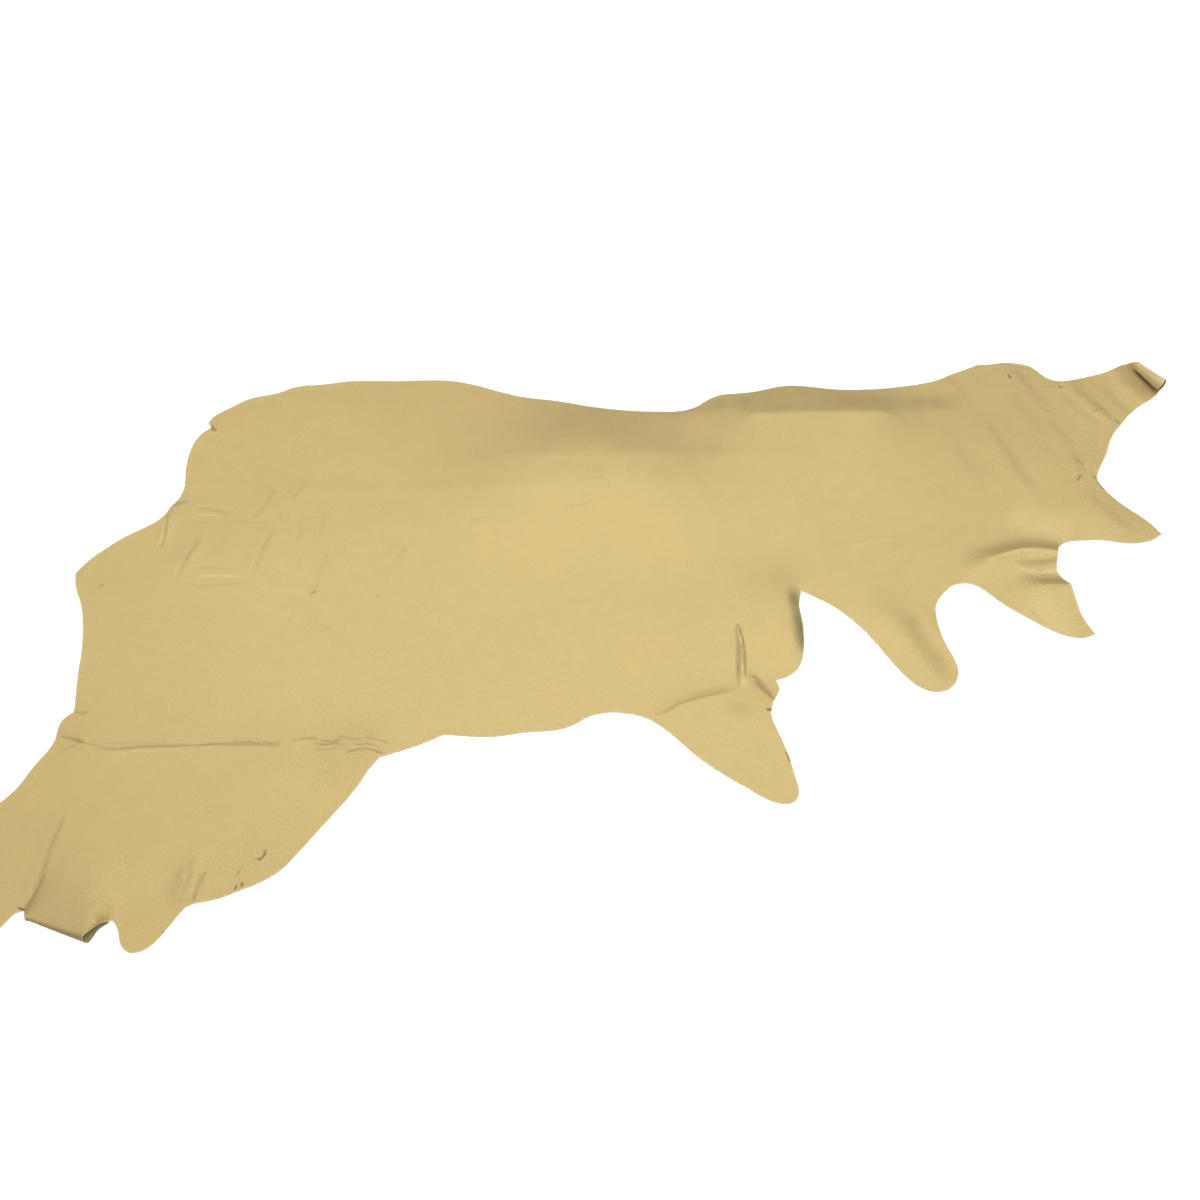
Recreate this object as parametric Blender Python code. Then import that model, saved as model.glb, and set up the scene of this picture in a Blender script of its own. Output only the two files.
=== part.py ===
"""A side of gold-finished leather, laid out on a flat surface with its grain side up.

One skin, cut along the backbone: the rump lies to the left, the neck to the right, the backbone edge
at the back and the belly in front. The sheet is of even thickness. It lies flat but for the folds
that years on a roll have left in it: a flap of the hind leg that rolls under, a neck tip that curls
over, and creases at the chest, the legs and the groin.

Tables and sizes are in millimetres, measured on the surface that the hide lies on, with x along the
hide towards the neck and y towards the backbone. The finished mesh is in metres.
"""

import math
from collections import namedtuple

import bmesh
import bpy
import numpy as np
from mathutils import Matrix, Vector
from mathutils.geometry import delaunay_2d_cdt, interpolate_bezier
from mathutils.kdtree import KDTree

MM = 0.001

THICKNESS = 1.4

# The net of triangles: how long the cut edge's pieces are, how far apart its points lie, and how near
# to each other they may come, as shares of a spacing or of a fold's reach where a name says so.
LONGEST_EDGE = 36.0
LONGEST_ROLLED_EDGE = 9.0
TURN_PER_EDGE = math.radians(16)
LEAST_SPACING = 5.5
PLAIN_SPACING = 54.0
PLAIN_CLEARANCE_SHARE = 0.62
NET_LOW = Vector((-1290, -820))
NET_HIGH = Vector((1390, 760))
ROLL_SPACING = 8.0
ROLL_CLEARANCE = 5.0
LEAST_ROW_STEP = 10.0
MOST_ROW_STEP = 34.0
ROW_STEP_SHARE = 0.9
ROW_CLEARANCE_SHARE = 0.36
PATH_STEP = 12.0
INNER_TRIANGLES = 1
SAME_POINT = 1e-4

# The cut edge, clockwise from the rump's corner. Each stretch is one smooth curve through its rows and
# ends where the next one starts, in a corner or a notch.
Knot = namedtuple("Knot", "x y")

RUMP = [
    Knot(-1131, 72),
    Knot(-1116, 100),
    Knot(-1069, 153),
    Knot(-1040, 181),
    Knot(-1001, 205),
    Knot(-968, 238),
    Knot(-963, 262),
    Knot(-946, 289),
    Knot(-941, 320),
    Knot(-949, 380),
    Knot(-950, 420),
    Knot(-935, 490),
    Knot(-912, 513),
]
RUMP_CORNER = [
    Knot(-912, 513),
    Knot(-921, 524),
    Knot(-917, 547),
    Knot(-878, 576),
    Knot(-850, 603),
    Knot(-800, 621),
    Knot(-768, 628),
    Knot(-735, 651),
    Knot(-690, 655),
    Knot(-650, 660),
    Knot(-598, 672),
    Knot(-540, 670),
    Knot(-470, 671),
    Knot(-360, 671),
    Knot(-318, 662),
    Knot(-280, 649),
]
BACKBONE = [
    Knot(-280, 649),
    Knot(-198, 618),
    Knot(-100, 601),
    Knot(-20, 581),
    Knot(60, 567),
    Knot(140, 563),
    Knot(200, 566),
    Knot(236, 583),
    Knot(262, 608),
    Knot(284, 622),
    Knot(330, 625),
    Knot(384, 634),
    Knot(436, 654),
    Knot(490, 653),
    Knot(565, 639),
    Knot(640, 639),
    Knot(700, 646),
    Knot(760, 657),
    Knot(812, 671),
    Knot(852, 694),
    Knot(890, 710),
    Knot(920, 727),
    Knot(948, 726),
    Knot(982, 735),
    Knot(1020, 731),
    Knot(1050, 721),
    Knot(1078, 682),
    Knot(1104, 668),
    Knot(1150, 675),
    Knot(1200, 689),
    Knot(1244, 705),
    Knot(1268, 722),
    Knot(1293, 733),
]
CREST_EDGE = [
    Knot(1345, 639),
    Knot(1333, 622),
    Knot(1312, 603),
    Knot(1258, 562),
    Knot(1226, 523),
    Knot(1194, 482),
    Knot(1170, 425),
    Knot(1140, 374),
    Knot(1132, 346),
    Knot(1144, 312),
    Knot(1170, 270),
    Knot(1205, 235),
    Knot(1228, 204),
    Knot(1238, 183),
]
CHEST_SPIKE = [
    Knot(1238, 183),
    Knot(1224, 170),
    Knot(1176, 156),
    Knot(1140, 158),
    Knot(1104, 167),
    Knot(1060, 165),
    Knot(1028, 164),
    Knot(1010, 155),
    Knot(992, 108),
    Knot(985, 76),
    Knot(1004, 32),
    Knot(1010, -20),
    Knot(1018, -56),
    Knot(1033, -92),
]
CHEST_TIP = [
    Knot(1033, -92),
    Knot(1024, -98),
    Knot(964, -93),
    Knot(938, -78),
    Knot(890, -40),
    Knot(844, -3),
    Knot(815, 36),
    Knot(790, 48),
    Knot(754, 40),
    Knot(733, 18),
    Knot(714, -4),
    Knot(707, -40),
    Knot(716, -122),
    Knot(735, -184),
    Knot(728, -208),
    Knot(680, -240),
    Knot(642, -223),
    Knot(608, -178),
    Knot(566, -103),
    Knot(530, -53),
    Knot(483, -8),
    Knot(452, 11),
    Knot(431, 24),
]
ELBOW = [
    Knot(431, 24),
    Knot(422, 4),
    Knot(425, -60),
    Knot(423, -115),
    Knot(409, -176),
    Knot(392, -196),
    Knot(358, -208),
]
FORE_LEG = [
    Knot(358, -208),
    Knot(364, -230),
    Knot(348, -262),
    Knot(342, -300),
    Knot(359, -348),
    Knot(378, -436),
    Knot(384, -478),
    Knot(368, -495),
    Knot(340, -495),
    Knot(290, -464),
    Knot(200, -399),
    Knot(126, -323),
    Knot(98, -302),
    Knot(70, -291),
    Knot(2, -287),
    Knot(-30, -299),
    Knot(-56, -320),
    Knot(-100, -330),
    Knot(-155, -333),
    Knot(-190, -342),
    Knot(-265, -342),
    Knot(-307, -338),
]
HIND_LEG = [
    Knot(-307, -338),
    Knot(-350, -360),
    Knot(-400, -380),
    Knot(-430, -390),
    Knot(-464, -452),
    Knot(-528, -548),
    Knot(-560, -594),
    Knot(-587, -632),
    Knot(-610, -652),
    Knot(-656, -674),
    Knot(-700, -694),
    Knot(-752, -708),
    Knot(-766, -729),
    Knot(-785, -762),
    Knot(-806, -790),
    Knot(-836, -800),
    Knot(-857, -783),
    Knot(-863, -757),
    Knot(-874, -740),
]
SHANK = [
    Knot(-1047, -716),
    Knot(-1060, -722),
    Knot(-1080, -752),
    Knot(-1110, -775),
    Knot(-1160, -785),
    Knot(-1215, -772),
    Knot(-1252, -738),
    Knot(-1262, -690),
    Knot(-1240, -625),
    Knot(-1195, -553),
    Knot(-1147, -494),
    Knot(-1125, -468),
    Knot(-1098, -404),
    Knot(-1077, -369),
    Knot(-1073, -350),
    Knot(-1076, -322),
    Knot(-1070, -300),
    Knot(-1052, -286),
]
FLANK_EDGE = [
    Knot(-1052, -286),
    Knot(-1063, -210),
    Knot(-1076, -102),
    Knot(-1100, -12),
    Knot(-1126, 44),
    Knot(-1131, 72),
]

# A rolled end is a cone that the sheet follows. Its base line runs from start to end, on the surface.
# Its outer radius grows from one end to the other. The net of triangles is finer from behind the base
# line to beyond it. Rows of the unrolled edge give how far along the base line a point lies, and how
# far past it on the flat sheet.
Roll = namedtuple("Roll", "start end radius_at_start radius_at_end turn over behind beyond")
Station = namedtuple("Station", "along past")

FLAP_ROLL = Roll(
    Vector((-1040, -730)), Vector((-901, -773)), 5.0, 15.0, math.radians(180), False, 48.0, 90.0
)
FLAP_EDGE = [
    Station(155, -42),
    Station(146, -31),
    Station(142, -10),
    Station(131, 10),
    Station(137, 31),
    Station(140, 64),
    Station(150, 78),
    Station(104, 66),
    Station(54, 46),
    Station(22, 30),
    Station(10, 16),
    Station(5, 2),
    Station(-6, -12),
]

# Behind its base line the flap slopes down to the surface. Each side has a foot, which the slope's
# run passes at the base line and leaves at a slant, and a spread over which it rises.
Foot = namedtuple("Foot", "along slant spread widening")

FLAP_SLOPE = 200.0
FLAP_LEFT_FOOT = Foot(-10.0, -0.17, 14.0, 0.35)
FLAP_RIGHT_FOOT = Foot(156.0, 0.10, 7.0, 0.72)
FLAP_SIDES = (-9.0, 162.0)

NECK_ROLL = Roll(
    Vector((1293, 733)), Vector((1345, 639)), 9.5, 17.0, math.radians(292), True, 16.0, 90.0
)
NECK_EDGE = [
    Station(0, 0),
    Station(3, 8),
    Station(10, 16),
    Station(19, 25),
    Station(19, 34),
    Station(12, 42),
    Station(5, 49),
    Station(40, 61),
    Station(80, 75),
    Station(111, 85),
    Station(115, 74),
    Station(113, 58),
    Station(106, 44),
    Station(104, 28),
    Station(106, 12),
    Station(107.4, 0),
]
NECK_SIDES = (-30.0, 140.0)

# A fold runs along its path. It rises to its height there and falls to nothing over the reach on
# either side, left and right of the way that the path runs. Round is 1 for a soft crest and 0 for a
# sharp one. It fades in and out over the fade, a share of its length.
Fold = namedtuple("Fold", "path height left right round fade")

# Broad swells, which add up. Along the back the skin stands a little off the surface and slopes down
# to its cut edge: a break line shows where it steepens.
SWELLS = [
    Fold(
        [(170, 512), (330, 538), (450, 545), (560, 549), (670, 550), (830, 572)],
        19, 112, 440, 0.5, 0.35
    ),
    Fold([(-480, 370), (-200, 330), (0, 320), (200, 330), (480, 370)], 18, 300, 300, 1, 0.45),
    Fold([(-300, 452), (-100, 440), (60, 436), (260, 450)], 12, 150, 200, 1, 0.4),
]

# Where two of these folds meet, the higher one leads and the other adds a little.
FOLDS = [
    # The chest's waist, where the skin gathers into three waves
    Fold(
        [(790, 50), (812, 86), (838, 104), (872, 118), (905, 128), (940, 133), (990, 126), (1060, 118)],
        13, 27, 40, 0.6, 0.2
    ),
    Fold([(886, 82), (920, 84), (960, 88), (1000, 90), (1050, 90)], 7, 17, 26, 0.8, 0.25),
    Fold([(890, 18), (945, 27), (1000, 31), (1060, 33)], 13, 36, 80, 0.8, 0.3),
    # The pinch that stands up inside the fore leg, and the crease at its armpit
    Fold([(300, -56), (290, -74), (294, -117), (293, -155), (290, -188), (287, -224)], 6, 9, 13, 0.4, 0.2),
    Fold(
        [(80, -304), (128, -288), (160, -266), (200, -251), (240, -241), (290, -228)],
        3, 13, 55, 0.3, 0.2
    ),
    Fold([(300, -190), (318, -218), (334, -244), (356, -276)], 5, 13, 20, 0.6, 0.25),
    # The elbow's edge, which turns down
    Fold([(376, 130), (390, 60), (399, -30), (398, -90), (388, -150), (360, -215)], 9, 26, 150, 1, 0.4),
    # The hollow down the lobe between elbow and chest
    Fold([(588, 30), (616, -60), (636, -120), (660, -176), (686, -222)], 8, 36, 80, 1, 0.35),
    Fold([(672, 10), (696, -80), (716, -140), (730, -190)], 4, 26, 26, 1, 0.35),
    # The tuck across the groin, and where it runs out towards the belly
    Fold(
        [(-1140, -318), (-1074, -342), (-1010, -362), (-955, -373), (-900, -369), (-800, -366),
         (-620, -356)],
        2.4, 9, 60, 0.3, 0.2
    ),
    Fold([(-600, -352), (-540, -364), (-500, -378), (-420, -378)], 2, 10, 40, 0.5, 0.35),
    # Ripples across the neck
    Fold([(862, 420), (888, 352), (908, 300)], 2, 34, 60, 1, 0.4),
    Fold([(880, 600), (930, 430), (952, 350), (978, 270)], 3, 34, 60, 1, 0.4),
    Fold([(970, 600), (1014, 440), (1044, 360), (1070, 300)], 3, 30, 56, 1, 0.4),
    Fold([(1000, 700), (1034, 600), (1062, 515), (1092, 420)], 3.6, 30, 50, 1, 0.35),
    Fold([(1066, 700), (1100, 580), (1130, 505), (1150, 460)], 2.5, 28, 36, 1, 0.4),
    Fold([(1118, 700), (1150, 620), (1186, 550), (1210, 505)], 4.2, 28, 40, 0.9, 0.3),
    Fold([(1172, 740), (1206, 640), (1238, 570), (1256, 530)], 3, 28, 34, 1, 0.35),
    Fold([(1226, 760), (1258, 672), (1292, 590), (1306, 550)], 7, 46, 36, 1, 0.3),
    # The hollow down the spike beside the neck
    Fold([(1070, 330), (1116, 250), (1156, 184), (1180, 130)], 6, 40, 70, 1, 0.35),
    # Soft folds down the hind leg, beside its lobe
    Fold([(-750, -720), (-750, -670), (-744, -600)], 6, 20, 16, 0.8, 0.35),
    Fold([(-776, -726), (-772, -676), (-766, -610)], 4, 15, 24, 1, 0.35),
    # Creases at the rump
    Fold([(-966, 266), (-956, 215), (-954, 140)], 3.5, 15, 60, 0.5, 0.35),
    Fold([(-876, 200), (-890, 124), (-902, 50)], 3.5, 24, 60, 1, 0.4),
]
NARROW_FOLD = 60.0
ROW_PLACES = (0.0, -0.4, 0.4, -1.0, 1.0)
BROAD_ROW_PLACES = (0.0, -0.3, 0.3)
SHARED_LIFT = 0.35

CUT_EDGE_ANGLE = math.radians(60)
GOLD = (0.60, 0.46, 0.21, 1.0)
ROUGHNESS = 0.46
METALLIC = 0.55


def clear_scene():
    """Removes what the file opened with."""
    for thing in list(bpy.data.objects):
        bpy.data.objects.remove(thing, do_unlink=True)


def smooth_step(share):
    """0 below nothing, 1 above one, and a soft S between."""
    share = np.clip(share, 0.0, 1.0)
    return share * share * (3 - 2 * share)


def tangents(knots):
    """The direction of a smooth curve at each knot, leaning towards the nearer neighbour."""
    found = []
    for index, here in enumerate(knots):
        before = here - knots[max(index - 1, 0)]
        after = knots[min(index + 1, len(knots) - 1)] - here
        weighed = before * after.length_squared + after * before.length_squared
        if index in (0, len(knots) - 1):
            weighed = before + after
        found.append(weighed.normalized())
    return found


def smooth_run(rows, longest=LONGEST_EDGE, turn=TURN_PER_EDGE):
    """Points on one smooth curve through the rows, closer together where it turns. The last is left out."""
    knots = [Vector((row[0], row[1])) for row in rows]
    ways = tangents(knots)
    run = []
    for index in range(len(knots) - 1):
        first, second = knots[index], knots[index + 1]
        way_out, way_in = ways[index], ways[index + 1]
        reach = (second - first).length
        pieces = max(1, math.ceil(reach / longest), math.ceil(way_out.angle(way_in) / turn))
        pieces = min(pieces, max(1, int(reach / LEAST_SPACING)))
        curve = interpolate_bezier(
            first, first + way_out * reach / 3, second - way_in * reach / 3, second, pieces + 1
        )
        run += [Vector((point.x, point.y)) for point in curve[:-1]]
    return run


def roll_frame(roll):
    """The way along a roll's base line, the way past it, and the line's length."""
    along = roll.end - roll.start
    length = along.length
    along = along / length
    past = Vector((-along.y, along.x)) if roll.over else Vector((along.y, -along.x))
    return along, past, length


def unrolled(roll, stations):
    """The unrolled edge's rows as points on the flat sheet."""
    along, past, _ = roll_frame(roll)
    return [roll.start + along * row.along + past * row.past for row in stations]


def edge_points():
    """The whole cut edge of the flat sheet, clockwise."""
    flap = unrolled(FLAP_ROLL, FLAP_EDGE)
    tip = unrolled(NECK_ROLL, NECK_EDGE)
    points = []
    for rows in (RUMP, RUMP_CORNER, BACKBONE):
        points += smooth_run(rows)
    points += smooth_run(tip, longest=LONGEST_ROLLED_EDGE)
    for rows in (CREST_EDGE, CHEST_SPIKE, CHEST_TIP, ELBOW, FORE_LEG, HIND_LEG):
        points += smooth_run(rows)
        if rows is HIND_LEG:
            points.append(Vector(HIND_LEG[-1]))
    points += smooth_run(flap, longest=LONGEST_ROLLED_EDGE)
    points += [flap[-1]]
    for rows in (SHANK, FLANK_EDGE):
        points += smooth_run(rows)
    return points


def inside_edge(places, edge):
    """Which of the places lie inside the closed edge, by counting the edges to the right of each."""
    ring = np.array([tuple(point) for point in edge])
    following = np.roll(ring, -1, axis=0)
    within = np.zeros(len(places), bool)
    for (x0, y0), (x1, y1) in zip(ring, following):
        if y0 == y1:
            continue
        crosses = (places[:, 1] > min(y0, y1)) & (places[:, 1] <= max(y0, y1))
        where = x0 + (places[:, 1] - y0) * (x1 - x0) / (y1 - y0)
        within ^= crosses & (where > places[:, 0])
    return within


class Scatter:
    """Points of the sheet, each taken only where it keeps clear of those already there."""

    def __init__(self, edge):
        self.edge = edge
        self.points = list(edge)

    def add(self, wanted, gap):
        wanted = np.array([tuple(point)[:2] for point in wanted])
        wanted = wanted[inside_edge(wanted, self.edge)]
        tree = KDTree(len(self.points))
        for index, point in enumerate(self.points):
            tree.insert((point[0], point[1], 0), index)
        tree.balance()
        taken = []
        for place in wanted:
            if tree.find((place[0], place[1], 0))[2] > gap:
                taken.append(Vector(place))
        self.points += taken


def fold_run(fold, step):
    """Points along a fold's path."""
    return smooth_run(fold.path, longest=step, turn=math.pi) + [Vector(fold.path[-1])]


def fold_rows(fold):
    """Rows of points beside a narrow fold, or its crest alone for a broad one."""
    reach = min(fold.left, fold.right)
    step = min(MOST_ROW_STEP, max(LEAST_ROW_STEP, ROW_STEP_SHARE * reach))
    run = fold_run(fold, step)
    ways = tangents(run)
    places = ROW_PLACES if max(fold.left, fold.right) < NARROW_FOLD else BROAD_ROW_PLACES
    rows = []
    for place in places:
        reach = fold.left if place > 0 else fold.right
        for point, way in zip(run, ways):
            rows.append(point + Vector((-way.y, way.x)) * place * min(reach, NARROW_FOLD))
    return rows


def roll_rows(roll):
    """A grid of points over a rolled end, from behind its base line to beyond it."""
    along, past, length = roll_frame(roll)
    rows = []
    step = ROLL_SPACING
    for row in range(int((roll.behind + roll.beyond) / step)):
        for column in range(-1, int(length / step) + 3):
            shift = 0.5 * (row % 2)
            rows.append(roll.start + along * (column + shift) * step + past * (row * step - roll.behind))
    return rows


def plain_grid():
    """An even net of points over the whole sheet, in triangles of equal sides."""
    rows = []
    size = NET_HIGH - NET_LOW
    pitch = PLAIN_SPACING * math.sqrt(0.75)
    for row in range(int(size.y / pitch) + 1):
        for column in range(int(size.x / PLAIN_SPACING) + 1):
            shift = 0.5 * (row % 2)
            rows.append(NET_LOW + Vector(((column + shift) * PLAIN_SPACING, row * pitch)))
    return rows


def flat_sheet():
    """The sheet's points before it is folded, and its triangles."""
    edge = edge_points()
    scatter = Scatter(edge)
    for roll in (FLAP_ROLL, NECK_ROLL):
        scatter.add(roll_rows(roll), ROLL_CLEARANCE)
    for fold in SWELLS + FOLDS:
        scatter.add(fold_rows(fold), ROW_CLEARANCE_SHARE * min(NARROW_FOLD, fold.left, fold.right))
    scatter.add(plain_grid(), PLAIN_CLEARANCE_SHARE * PLAIN_SPACING)
    ring = list(range(len(edge)))
    points, _, faces, *_ = delaunay_2d_cdt(scatter.points, [], [ring], INNER_TRIANGLES, SAME_POINT)
    return np.array([tuple(point) for point in points]), faces


def fold_heights(points, fold):
    """How far a fold lifts each point."""
    run = np.array([tuple(point) for point in fold_run(fold, PATH_STEP)])
    lengths = np.linalg.norm(np.diff(run, axis=0), axis=1)
    starts = np.concatenate([[0.0], np.cumsum(lengths)[:-1]])
    nearest = np.full(len(points), np.inf)
    share = np.zeros(len(points))
    side = np.zeros(len(points))
    for first, second, length, start in zip(run[:-1], run[1:], lengths, starts):
        way = (second - first) / length
        apart = points - first
        down = np.clip(apart @ way, 0, length)
        away = np.linalg.norm(apart - down[:, None] * way, axis=1)
        closer = away < nearest
        nearest[closer] = away[closer]
        share[closer] = ((start + down) / lengths.sum())[closer]
        side[closer] = (way[0] * apart[:, 1] - way[1] * apart[:, 0])[closer]
    across = nearest / np.where(side > 0, fold.left, fold.right)
    across = np.clip(across, 0, 1)
    profile = (1 - across) ** 2 * (1 + 2 * fold.round * across)
    ends = smooth_step(share / fold.fade) * smooth_step((1 - share) / fold.fade)
    return fold.height * profile * ends


def roll_places(points, roll):
    """For each point, how far it lies along and past a roll's base line, and the roll's radius there."""
    along, past, length = roll_frame(roll)
    apart = points - np.array(roll.start)
    run = apart @ np.array(along)
    beyond = apart @ np.array(past)
    share = np.clip(run / length, 0, 1)
    radius = roll.radius_at_start + (roll.radius_at_end - roll.radius_at_start) * share
    return run, beyond, radius


def lifted(points):
    """The heights that the swells and the folds on them give."""
    heights = np.zeros(len(points))
    for fold in FOLDS:
        more = fold_heights(points, fold)
        heights = np.maximum(heights, more) + SHARED_LIFT * np.minimum(heights, more)
    return heights + sum(fold_heights(points, swell) for swell in SWELLS)


def flap_slope(run, back, top):
    """How high the flap stands behind its roll, from the top of the roll down to the surface."""
    slope = smooth_step(1 - back / FLAP_SLOPE)
    for foot, inwards in ((FLAP_LEFT_FOOT, 1), (FLAP_RIGHT_FOOT, -1)):
        reach = (run - foot.along - foot.slant * back) * inwards
        slope *= smooth_step(reach / (foot.spread + foot.widening * back))
    return top * slope


def roll_flap(points, shaped):
    """The flap rises to the top of its roll, goes round, and comes back underneath, grain side down."""
    run, beyond, radius = roll_places(points, FLAP_ROLL)
    past = np.array(roll_frame(FLAP_ROLL)[1])
    inner = radius - THICKNESS
    behind = (beyond <= 0) & (beyond > -FLAP_SLOPE)
    lift = flap_slope(run, -beyond, 2 * inner + THICKNESS)
    shaped[behind, 2] = np.maximum(shaped[behind, 2], lift[behind])
    rolled = (beyond > 0) & (run > FLAP_SIDES[0]) & (run < FLAP_SIDES[1])
    angle = np.minimum(beyond / inner, FLAP_ROLL.turn)
    underneath = beyond - angle * inner
    forward = inner * np.sin(angle) - underneath
    shaped[rolled, :2] += (past * (forward - beyond)[:, None])[rolled]
    shaped[rolled, 2] = (THICKNESS + inner + inner * np.cos(angle))[rolled]


def roll_neck(points, shaped):
    """The neck's tip curls up and over, flesh side out."""
    run, beyond, radius = roll_places(points, NECK_ROLL)
    past = np.array(roll_frame(NECK_ROLL)[1])
    rolled = (beyond > 0) & (run > NECK_SIDES[0]) & (run < NECK_SIDES[1])
    angle = np.minimum(beyond / radius, NECK_ROLL.turn)
    shaped[rolled, :2] += (past * (radius * np.sin(angle) - beyond)[:, None])[rolled]
    shaped[rolled, 2] = (radius * (1 - np.cos(angle)))[rolled]


def folded(points):
    """The flesh side of the sheet, lifted into its folds and rolled at both its ends."""
    shaped = np.column_stack([points, lifted(points)])
    roll_flap(points, shaped)
    roll_neck(points, shaped)
    return shaped


def leather():
    """Gold metallic leather."""
    material = bpy.data.materials.new("gold_leather")
    material.use_nodes = True
    shader = material.node_tree.nodes["Principled BSDF"]
    shader.inputs["Base Color"].default_value = GOLD
    shader.inputs["Roughness"].default_value = ROUGHNESS
    shader.inputs["Metallic"].default_value = METALLIC
    material.diffuse_color = GOLD
    return material


def flat_to_folded(points, faces):
    """The flesh side as a mesh, with its faces turned to the grain side."""
    sheet = bmesh.new()
    corners = [sheet.verts.new(place) for place in folded(points) * MM]
    for face in faces:
        sheet.faces.new([corners[index] for index in face])
    bmesh.ops.recalc_face_normals(sheet, faces=sheet.faces)
    middle = min(sheet.faces, key=lambda face: face.calc_center_median().length)
    if middle.normal.z < 0:
        bmesh.ops.reverse_faces(sheet, faces=sheet.faces)
    mesh = bpy.data.meshes.new("flesh_side")
    sheet.to_mesh(mesh)
    sheet.free()
    return mesh


def with_thickness(mesh):
    """The finished object's mesh: the flesh side and, a thickness away, the grain side."""
    sheet = bpy.data.objects.new("flesh_side", mesh)
    bpy.context.scene.collection.objects.link(sheet)
    skin = sheet.modifiers.new("thickness", "SOLIDIFY")
    skin.thickness = THICKNESS * MM
    skin.offset = 1.0
    skin.use_even_offset = False
    graph = bpy.context.evaluated_depsgraph_get()
    solid = bpy.data.meshes.new_from_object(sheet.evaluated_get(graph))
    bpy.data.objects.remove(sheet, do_unlink=True)
    return solid


def seat_on_origin(mesh):
    """Moves the mesh so that the middle of its footprint is the origin."""
    corners = np.array([tuple(vertex.co) for vertex in mesh.vertices])
    low, high = corners.min(axis=0), corners.max(axis=0)
    middle = (low + high) / 2
    mesh.transform(Matrix.Translation((-middle[0], -middle[1], -low[2])))


def build_hide():
    """The hide: one sheet, smooth but for its cut edge."""
    points, faces = flat_sheet()
    mesh = with_thickness(flat_to_folded(points, faces))
    seat_on_origin(mesh)
    mesh.name = "hide"
    mesh.materials.append(leather())
    mesh.shade_smooth()
    mesh.set_sharp_from_angle(angle=CUT_EDGE_ANGLE)
    hide = bpy.data.objects.new("hide", mesh)
    bpy.context.scene.collection.objects.link(hide)


clear_scene()
build_hide()
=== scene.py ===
import math
from collections import namedtuple

import bmesh
import bpy
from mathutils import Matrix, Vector, noise
from mathutils.kdtree import KDTree


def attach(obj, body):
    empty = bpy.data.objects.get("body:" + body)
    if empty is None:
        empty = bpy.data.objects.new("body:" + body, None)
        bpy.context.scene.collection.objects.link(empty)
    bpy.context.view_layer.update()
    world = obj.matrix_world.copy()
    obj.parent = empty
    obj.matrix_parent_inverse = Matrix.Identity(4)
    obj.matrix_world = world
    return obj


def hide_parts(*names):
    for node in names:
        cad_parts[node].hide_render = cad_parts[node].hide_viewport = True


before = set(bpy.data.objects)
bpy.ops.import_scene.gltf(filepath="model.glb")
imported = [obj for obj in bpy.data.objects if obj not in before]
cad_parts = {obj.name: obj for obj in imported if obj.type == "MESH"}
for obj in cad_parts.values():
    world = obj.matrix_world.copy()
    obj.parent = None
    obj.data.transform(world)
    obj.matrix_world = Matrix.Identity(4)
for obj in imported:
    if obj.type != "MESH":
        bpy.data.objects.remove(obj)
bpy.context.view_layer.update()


# The sheet: one side of leather, 1.4 mm thick, knife cut all round and never hemmed or bound. It takes
# its outline, its rolled ends and its main folds from the solid: the grain side of the solid is copied,
# given a fine net, creased, and given its thickness again.
MM = 0.001
THICKNESS = 1.4 * MM

# Places are in millimetres on the floor, from the point that the camera looks at: x along the hide
# towards the neck, y towards the backbone.
AIM = Vector((-48.0 * MM, 32.5 * MM, 0))

# A crease is pressed into the leather along its path: a trough of that depth and half width, between two
# low shoulders. A ridge has a negative depth, and a painted shade or highlight alone has none. The third
# value is shade painted along the trough, 1 at its darkest, and below 0 a highlight painted along a crest;
# above 0 it also dulls the foil.
Crease = namedtuple("Crease", "depth reach dark path")

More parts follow.
